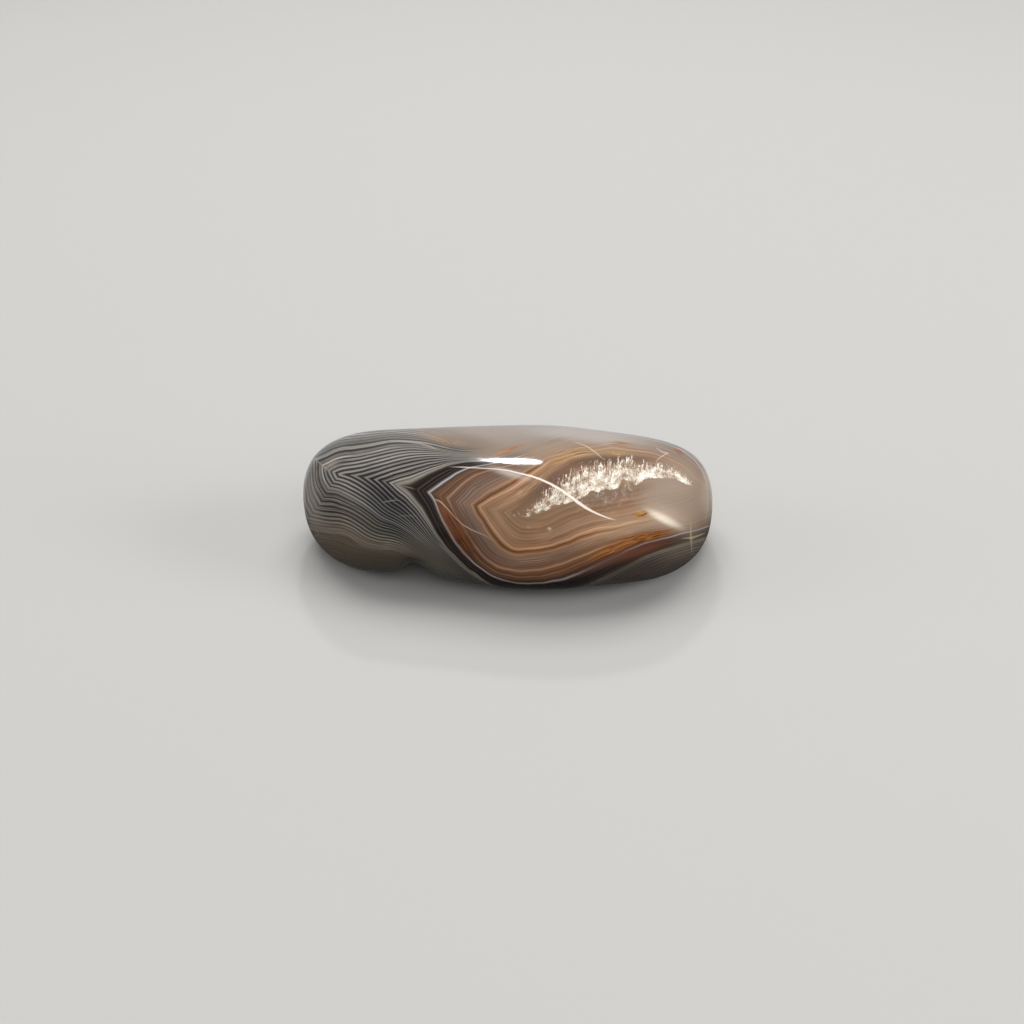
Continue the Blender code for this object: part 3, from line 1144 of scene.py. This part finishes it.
@dataclass(frozen=True)
class QuartzSeam:
    """The quartz seam: pale grains, with needles along its top, a ragged foot and specks below it.

    Runs are pixels of the photograph from the seam's left end. Levels are heights over its lower
    edge, as shares of its reach there. Edges are read as the bands' are.
    """

    needle_stretch: tuple[float, float] = (0.7, 0.12)
    needle_detail: float = 3.0
    needle_roughness: float = 0.7
    grains: Grains = Grains(0.42, 4.0, 0.7, 4.0)
    sparkle: Grains = Grains(0.9, 1.0, 0.5, 9.0)
    clumps: Grains = Grains(0.13, 1.0, 0.5, 14.0)
    grain_share: float = 0.5
    needle_share: float = 0.25
    clump_share: float = 0.25
    least_reach: float = 0.5
    reach_edge: Edge = (0.2, 2.5)
    needle_height: float = 2.6
    needle_edge: Edge = (0.05, -0.75)
    foot_raggedness: float = 0.25
    foot_edge: Edge = (0.07, 0.18)
    full_edge: Edge = (15.0, 80.0)
    thin_density: float = 0.45
    density_share: float = 0.36
    shown_edge: Edge = (0.63, 0.74)
    speck_floor: Edge = (-0.80, -0.30)
    speck_ceiling: Edge = (1.0, 0.5)
    speck_edge: Edge = (0.46, 0.60)
    speck_start: Edge = (66.0, 88.0)
    speck_end: Edge = (146.0, 118.0)
    speck_strength: float = 0.45
    dim_facet: float = 0.38
    full_brightness: float = 0.06
    dense_brightness: float = 0.22
    sparkle_depth: float = 0.65
    grain_depth: float = 0.9
    clump_depth: float = 0.9

    def build(self, nodes: NodeTree) -> tuple[Socket, Socket]:
        """Draws the seam.

        Args:
            nodes: the material's tree.

        Returns:
            How much of the seam shows, and how bright its quartz is, from 0 to 1.
        """
        run, height, reach = nodes.numbers("seam")
        level = nodes.math("DIVIDE", height, nodes.math("MAXIMUM", reach, self.least_reach))
        present = nodes.step(reach, *self.reach_edge)
        across, up = self.needle_stretch
        needle_place = nodes.vector(nodes.times(run, across), nodes.times(height, up))
        needles = nodes.noise(needle_place, 1.0, self.needle_detail, self.needle_roughness)
        grains = self.grains.on(nodes, run, height)
        sparkle = self.sparkle.on(nodes, run, height)
        clumps = self.clumps.on(nodes, run, height)
        pattern = nodes.times(needles, self.needle_share)
        pattern = nodes.math("MULTIPLY_ADD", grains, self.grain_share, pattern)
        pattern = nodes.math("MULTIPLY_ADD", clumps, self.clump_share, pattern)

        top = nodes.step(nodes.math("MULTIPLY_ADD", needles, -self.needle_height, level), *self.needle_edge)
        foot = nodes.step(nodes.math("MULTIPLY_ADD", clumps, self.foot_raggedness, level), *self.foot_edge)
        full = nodes.step(run, *self.full_edge)
        filled = nodes.math("MULTIPLY_ADD", full, 1 - self.thin_density, self.thin_density)
        density = nodes.times(nodes.times(top, foot), nodes.times(filled, present))
        shown = nodes.step(nodes.math("MULTIPLY_ADD", density, self.density_share, pattern), *self.shown_edge)
        specks = self.specks(nodes, run, level, pattern)
        shown = nodes.times(nodes.math("MAXIMUM", shown, specks), present)

        facet = nodes.math("MULTIPLY_ADD", full, self.full_brightness, self.dim_facet)
        facet = nodes.math("MULTIPLY_ADD", density, self.dense_brightness, facet)
        for noise, depth in ((sparkle, self.sparkle_depth), (grains, self.grain_depth),
                             (clumps, self.clump_depth)):
            facet = nodes.math("MULTIPLY_ADD", nodes.math("SUBTRACT", noise, 0.5), depth, facet)
        return shown, facet

    def specks(self, nodes: NodeTree, run: Socket, level: Socket, pattern: Socket) -> Socket:
        """The faint specks under the middle of the seam.

        Args:
            nodes: the material's tree.
            run: the run along the seam.
            level: the level over its lower edge.
            pattern: the noise that the seam's grains are drawn from.

        Returns:
            How much of the specks shows.
        """
        below = nodes.times(
            nodes.step(level, *self.speck_floor), nodes.step(level, *self.speck_ceiling),
            nodes.step(pattern, *self.speck_edge),
        )
        middle = nodes.times(nodes.step(run, *self.speck_start), nodes.step(run, *self.speck_end))
        return nodes.times(below, middle, self.speck_strength)


class ChalcedonyFinish:
    """The one material of the stone: banded chalcedony with a quartz seam, under a high polish, with some
    light and shade painted into its colour.
    """

    def __init__(self, palette: BandPalette, drawing: BandDrawing, seam: QuartzSeam, polish: Polish) -> None:
        """Keeps what the finish is made from.

        Args:
            palette: the colours of the bands.
            drawing: how the bands are drawn.
            seam: how the quartz seam is drawn.
            polish: how the surface is finished.
        """
        self.palette = palette
        self.drawing = drawing
        self.seam = seam
        self.polish = polish

    def build(self) -> bpy.types.Material:
        """Builds the material.

        Returns:
            The material, for a mesh that holds the band pattern.
        """
        material = bpy.data.materials.new("banded_chalcedony_and_painted_light")
        material.use_nodes = True
        nodes = NodeTree(material.node_tree)
        shader = material.node_tree.nodes["Principled BSDF"]
        place = nodes.node("ShaderNodeTexCoord").outputs["Object"]
        count = self.band_count(nodes, place)
        drift = nodes.noise(place, self.drawing.drift_scale)
        colour = self.bands(nodes, count, drift)
        colour = self.cloud(nodes, colour, count, drift)
        colour = self.stain(nodes, colour, count, drift)
        seam, facet = self.seam.build(nodes)
        colour = nodes.mix(seam, colour, self.sequence(nodes, facet, self.palette.quartz))
        colour = self.fine_lines(nodes, colour)
        nodes.feed(shader.inputs["Base Color"], colour)
        nodes.feed(shader.inputs["Roughness"], self.polish.roughness)
        nodes.feed(shader.inputs["IOR"], self.polish.refraction)
        return material

    @staticmethod
    def along_bands(nodes: NodeTree, count: Socket, drift: Socket, streaks: Streaks) -> Socket:
        """Noise that runs in streaks along the bands.

        Args:
            nodes: the material's tree.
            count: the band count.
            drift: cloudy noise that makes the streaks end and begin.
            streaks: how the noise is drawn out.

        Returns:
            The noise, about 0.5.
        """
        place = nodes.vector(nodes.times(count, streaks.fineness), nodes.times(drift, streaks.turn))
        return nodes.noise(place, 1.0, streaks.detail, streaks.roughness)

    @staticmethod
    def shaded(nodes: NodeTree, colour: Socket, *shades: tuple[Socket, float]) -> Socket:
        """A colour made lighter and darker by noises about 0.5.

        Args:
            nodes: the material's tree.
            colour: the colour that is shaded.
            shades: each noise with its depth.

        Returns:
            The shaded colour's socket.
        """
        shade = 1 - sum(depth for _, depth in shades) / 2
        for noise, depth in shades:
            shade = nodes.math("MULTIPLY_ADD", noise, depth, shade)
        return nodes.mix(1.0, colour, nodes.vector(shade, shade, shade), "MULTIPLY")

    @staticmethod
    def sequence(nodes: NodeTree, count: Socket, colours: tuple[BandColour, ...]) -> Socket:
        """The colours of a run of bands.

        Args:
            nodes: the material's tree.
            count: the band count at each point.
            colours: the colours at some counts, in order.

        Returns:
            The socket of the colour at each point.
        """
        low, high = colours[0].count, colours[-1].count
        made = nodes.node("ShaderNodeMapRange")
        nodes.feed(made.inputs["Value"], count)
        nodes.feed(made.inputs["From Min"], low)
        nodes.feed(made.inputs["From Max"], high)
        stops = [((entry.count - low) / (high - low), entry.colour) for entry in colours]
        return nodes.ramp(made.outputs["Result"], stops)

    def band_count(self, nodes: NodeTree, place: Socket) -> Socket:
        """The band count, folded sharply where two limbs meet.

        Args:
            nodes: the material's tree.
            place: the place on the stone.

        Returns:
            The socket of the count at each point.
        """
        upper, middle, lower = nodes.numbers("limbs")
        folded = nodes.math("MINIMUM", nodes.math("MINIMUM", upper, middle), lower)
        noise = nodes.noise(place, self.drawing.waver_scale, self.drawing.waver_detail)
        return nodes.math("MULTIPLY_ADD", nodes.math("SUBTRACT", noise, 0.5), self.drawing.waver, folded)

    def dark_lines(self, nodes: NodeTree, count: Socket, drift: Socket, ink: Socket) -> Socket:
        """The dark lines of the outer bands: one at each whole count, and a thin one between two.

        Args:
            nodes: the material's tree.
            count: the band count.
            drift: cloudy noise that makes streaks end and begin.
            ink: how much the lines are widened.

        Returns:
            How dark the lines are at each point.
        """
        # On the upper limb there is one broad pair of lines, not two, between the counts -2 and 0.
        upper, middle, lower = nodes.numbers("limbs")
        above_others = nodes.math("SUBTRACT", nodes.math("MINIMUM", middle, lower), upper)
        on_upper = nodes.step(above_others, *self.drawing.upper_edge)
        broad_pair = nodes.times(nodes.math("MULTIPLY", count, -0.5, clamp=True), on_upper)
        turns = nodes.times(nodes.math("ADD", count, broad_pair), 2 * math.pi)
        wave = nodes.math("MULTIPLY_ADD", ink, self.drawing.ink_weight, nodes.math("COSINE", turns))

        contrast = self.sequence(nodes, count, self.palette.contrast)
        line = nodes.times(nodes.step(wave, *self.drawing.dark_edge), contrast)
        between = self.sequence(nodes, count, self.palette.between)
        weight = self.along_bands(nodes, count, drift, self.drawing.between_streaks)
        thin = nodes.times(
            nodes.step(wave, *self.drawing.between_edge), between,
            nodes.step(weight, *self.drawing.between_shown),
        )
        return nodes.math("MAXIMUM", line, thin)

    def bands(self, nodes: NodeTree, count: Socket, drift: Socket) -> Socket:
        """The colour of the bands: pairs of lines outside, broader coloured bands inside.

        Args:
            nodes: the material's tree.
            count: the band count.
            drift: cloudy noise that makes streaks end and begin.

        Returns:
            The colour's socket.
        """
        tint, ink = nodes.colour_and_share(Layer.TINT.value)
        line = self.dark_lines(nodes, count, drift, ink)
        light = self.sequence(nodes, count, self.palette.light)
        dark = self.sequence(nodes, count, self.palette.dark)
        outer = nodes.mix(line, light, dark)
        black = self.sequence(nodes, count, self.palette.black_bands)
        brown = self.sequence(nodes, count, self.palette.brown_bands)
        inner = nodes.mix(nodes.step(count, *self.drawing.brown_edge), black, brown)
        colour = nodes.mix(nodes.step(count, *self.drawing.black_edge), outer, inner)
        colour = nodes.mix(1.0, colour, tint, "MULTIPLY")
        broad = self.along_bands(nodes, count, drift, self.drawing.broad_streaks)
        fine = self.along_bands(nodes, count, drift, self.drawing.fine_streaks)
        return self.shaded(nodes, colour, (broad, self.drawing.broad_depth), (fine, self.drawing.fine_depth))

    def cloud(self, nodes: NodeTree, colour: Socket, count: Socket, drift: Socket) -> Socket:
        """Plain chalcedony over the bands, faintly streaked along them, with painted shade along the
        underside and a painted glow low on the right end.

        Args:
            nodes: the material's tree.
            colour: the colour below.
            count: the band count.
            drift: cloudy noise that makes streaks end and begin.

        Returns:
            The colour's socket.
        """
        body, cover = nodes.colour_and_share(Layer.CLOUD_AND_PAINTED_LIGHT.value)
        streak = self.along_bands(nodes, count, drift, self.drawing.cloud_and_painted_light_streaks)
        return nodes.mix(cover, colour, self.shaded(nodes, body, (streak, self.drawing.cloud_and_painted_light_depth)))

    def stain(self, nodes: NodeTree, colour: Socket, count: Socket, drift: Socket) -> Socket:
        """Iron stains, streaked along the bands.

        Args:
            nodes: the material's tree.
            colour: the colour below.
            count: the band count.
            drift: cloudy noise that makes streaks end and begin.

        Returns:
            The colour's socket.
        """
        body, cover = nodes.colour_and_share(Layer.STAIN.value)
        streak = self.along_bands(nodes, count, drift, self.drawing.stain_streaks)
        shade = self.along_bands(nodes, count, drift, self.drawing.stain_shades)
        torn = nodes.math("MULTIPLY_ADD", streak, self.drawing.stain_contrast, self.drawing.stain_offset)
        shown = nodes.step(nodes.times(cover, torn), *self.drawing.stain_edge)
        return nodes.mix(shown, colour, self.shaded(nodes, body, (shade, self.drawing.stain_depth)))

    def fine_lines(self, nodes: NodeTree, colour: Socket) -> Socket:
        """The healed cracks and the other fine lines.

        Args:
            nodes: the material's tree.
            colour: the colour below.

        Returns:
            The colour's socket.
        """
        for line in FINE_LINES:
            side, half_width, near = nodes.numbers(line.name)
            gap = nodes.math("SUBTRACT", nodes.math("ABSOLUTE", side), half_width)
            shown = nodes.times(
                nodes.step(gap, *self.drawing.line_edge), near,
                nodes.step(half_width, *self.drawing.line_end), line.strength,
            )
            colour = nodes.mix(shown, colour, line.colour)
        return colour


@dataclass
class PolishedAgate:
    """The stone: its form, what is drawn in it, and its finish."""

    form: StoneForm = field(default_factory=StoneForm)
    camera: PhotoCamera = field(default_factory=PhotoCamera)
    depth: Depth = field(default_factory=Depth)
    palette: BandPalette = field(default_factory=BandPalette)
    drawing: BandDrawing = field(default_factory=BandDrawing)
    seam: QuartzSeam = field(default_factory=QuartzSeam)
    polish: Polish = field(default_factory=Polish)
    name: str = "polished_agate"

    def build(self) -> bpy.types.Object:
        """Builds the finished piece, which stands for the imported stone.

        Returns:
            The dressed stone.
        """
        mesh = self.form.build_mesh()
        BandPattern(self.camera, self.depth).write(mesh)
        finish = ChalcedonyFinish(self.palette, self.drawing, self.seam, self.polish)
        mesh.materials.append(finish.build())
        stone = bpy.data.objects.new(self.name, mesh)
        bpy.context.scene.collection.objects.link(stone)
        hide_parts("agate")
        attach(stone, "root")
        LOG.info("%s: %d vertices, %d faces", self.name, len(mesh.vertices), len(mesh.polygons))
        return stone


@dataclass(frozen=True)
class Floor:
    """A round floor of matt paper that sweeps up into a low wall, in metres."""

    radius: float = 3.0
    wall_height: float = 1.5
    sweep_radius: float = 0.9
    rim_segments: int = 128
    sweep_segments: int = 16
    colour: Colour = (0.46, 0.45, 0.435)
    roughness: float = 0.9

    def build(self) -> bpy.types.Object:
        """Builds the floor, which doesn't show in the polish.

        Returns:
            The floor's object.
        """
        sheet = bmesh.new()
        bmesh.ops.create_circle(sheet, cap_ends=True, segments=self.rim_segments, radius=self.radius)
        rim = [edge for edge in sheet.edges if edge.is_boundary]
        raised = bmesh.ops.extrude_edge_only(sheet, edges=rim)["geom"]
        top = [item for item in raised if isinstance(item, bmesh.types.BMVert)]
        bmesh.ops.translate(sheet, vec=(0, 0, self.wall_height), verts=top)
        corner = [edge for edge in sheet.edges if all(vert.co.z < TOLERANCE for vert in edge.verts)]
        bmesh.ops.bevel(
            sheet, geom=corner, offset=self.sweep_radius, offset_type="OFFSET", affect="EDGES",
            segments=self.sweep_segments, profile=0.5, material=-1,
        )
        bmesh.ops.recalc_face_normals(sheet, faces=sheet.faces)
        mesh = bpy.data.meshes.new("floor")
        sheet.to_mesh(mesh)
        sheet.free()
        mesh.shade_smooth()
        floor = bpy.data.objects.new("floor", mesh)
        bpy.context.scene.collection.objects.link(floor)
        mesh.materials.append(self.paper())
        floor.visible_glossy = False
        return floor

    def paper(self) -> bpy.types.Material:
        """Builds the matt paper.

        Returns:
            The material.
        """
        paper = bpy.data.materials.new("paper")
        paper.use_nodes = True
        shader = paper.node_tree.nodes["Principled BSDF"]
        shader.inputs["Base Color"].default_value = (*self.colour, 1.0)
        shader.inputs["Roughness"].default_value = self.roughness
        return paper


@dataclass(frozen=True)
class Lamp:
    """A soft light: its place, its aim and its two sizes in metres, and its power in watts."""

    name: str
    place: Place
    size: tuple[float, float]
    power: float
    aim: Place = (0.0, 0.0, 0.0)
    outline: LampOutline = LampOutline.RECTANGLE
    shows_in_polish: bool = False

    def build(self) -> bpy.types.Object:
        """Puts the light in the scene.

        Returns:
            The light's object.
        """
        data = bpy.data.lights.new(self.name, "AREA")
        data.shape = self.outline.value
        data.size, data.size_y = self.size
        data.energy = self.power
        light = bpy.data.objects.new(self.name, data)
        bpy.context.scene.collection.objects.link(light)
        light.location = self.place
        light.rotation_euler = (Vector(self.aim) - Vector(self.place)).to_track_quat("-Z", "Y").to_euler()
        light.visible_glossy = self.shows_in_polish
        return light


LAMPS = (
    Lamp("strip", (-0.016, 0.948, 0.911), (0.143, 0.094), 3.0, aim=(0.0, -0.005, 0.027),
         outline=LampOutline.ELLIPSE, shows_in_polish=True),
    Lamp("overhead", (0.0, 0.40, 1.3), (1.3, 1.0), 17.0),
    Lamp("fill", (0.1, -1.0, 0.9), (1.0, 0.8), 5.0),
    Lamp("window", (1.15, -0.28, 0.45), (0.6, 0.6), 9.0),
    Lamp("door", (-1.15, -0.10, 0.55), (0.6, 0.6), 3.6),
)


@dataclass(frozen=True)
class Sky:
    """A dim sky, darker below the horizon, with a soft glow behind the stone.

    The sky's edge and the ground's are heights of a direction, from -1 straight down to 1 straight
    up. The glow's edge is how closely a direction points at the glow, at most 1.
    """

    colour: Colour = (0.94, 0.97, 1.0)
    dim: float = 0.04
    bright: float = 0.20
    glow: float = 0.55
    glow_towards: Place = (0.0, 0.989, -0.148)
    glow_edge: Edge = (0.70, 0.95)
    sky_edge: Edge = (-0.1, 0.3)
    ground_edge: Edge = (-0.56, -0.48)

    def build(self) -> bpy.types.World:
        """Builds the sky, as the scene's own.

        Returns:
            Blender's world.
        """
        world = bpy.data.worlds.new("glow")
        world.use_nodes = True
        nodes = NodeTree(world.node_tree)
        background = world.node_tree.nodes["Background"]
        towards = nodes.node("ShaderNodeTexCoord").outputs["Generated"]
        split = nodes.node("ShaderNodeSeparateXYZ")
        nodes.feed(split.inputs[0], towards)
        height = split.outputs[2]
        aligned = nodes.node("ShaderNodeVectorMath", operation="DOT_PRODUCT")
        nodes.feed(aligned.inputs[0], towards)
        nodes.feed(aligned.inputs[1], self.glow_towards)
        above = nodes.times(nodes.step(height, *self.sky_edge), self.bright - self.dim)
        behind = nodes.times(
            nodes.step(aligned.outputs["Value"], *self.glow_edge), self.glow,
            nodes.step(height, *self.ground_edge),
        )
        strength = nodes.math("ADD", nodes.math("ADD", above, self.dim), behind)
        nodes.feed(background.inputs["Color"], self.colour)
        nodes.feed(background.inputs["Strength"], strength)
        bpy.context.scene.world = world
        return world


@dataclass
class Studio:
    """The pale floor, the soft lights and the glow behind. None of it belongs to the stone."""

    floor: Floor = field(default_factory=Floor)
    lamps: tuple[Lamp, ...] = LAMPS
    sky: Sky = field(default_factory=Sky)

    def build(self) -> None:
        """Builds the floor, the lights and the sky."""
        self.floor.build()
        for lamp in self.lamps:
            lamp.build()
        self.sky.build()
        LOG.info("studio: a floor, %d lamps and a sky", len(self.lamps))


def main() -> None:
    """Builds the camera, the stone and the studio."""
    logging.basicConfig(level=logging.INFO, format="%(name)s: %(message)s")
    camera = PhotoCamera()
    camera.build()
    PolishedAgate(camera=camera).build()
    Studio().build()
    bpy.context.scene.view_settings.view_transform = "Standard"


if __name__ == "__main__":
    main()
